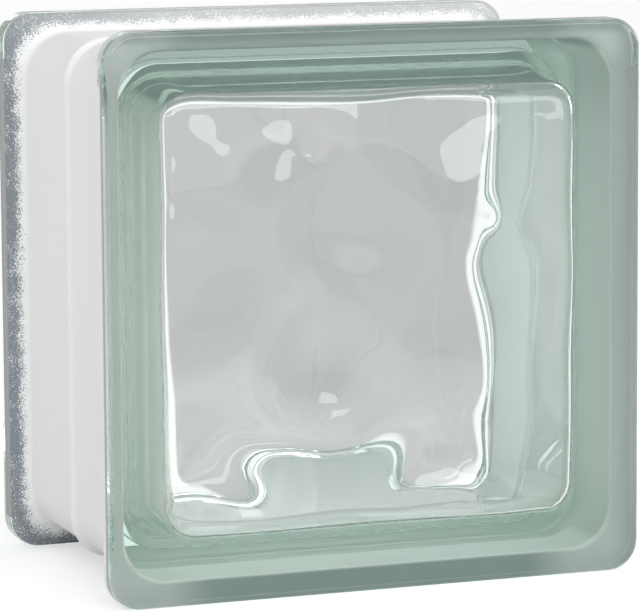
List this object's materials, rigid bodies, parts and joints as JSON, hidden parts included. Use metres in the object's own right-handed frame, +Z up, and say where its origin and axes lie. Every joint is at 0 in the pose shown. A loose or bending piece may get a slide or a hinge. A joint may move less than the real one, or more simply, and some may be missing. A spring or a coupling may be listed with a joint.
{
  "type": "glass block",
  "caption": "Square hollow glass block with wavy clear faces, flanged edges and a white-coated mortar channel round the rim.",
  "frame": {"origin": "centre of the block's footprint, on the level that its flanges stand on", "axes": "+Z up, X along the width of the faces, Y through the depth with the front face towards -Y"},
  "size_m": [0.146, 0.098, 0.146],
  "materials": {
    "glass": "fire-polished clear soda-lime glass with a faint green tint in its thickness",
    "coating": "matte sprayed white coating with a speckled edge"
  },
  "bodies": {
    "root": {"front_shell": "glass", "back_shell": "glass", "edge_coating": "coating"}
  },
  "joints": []
}
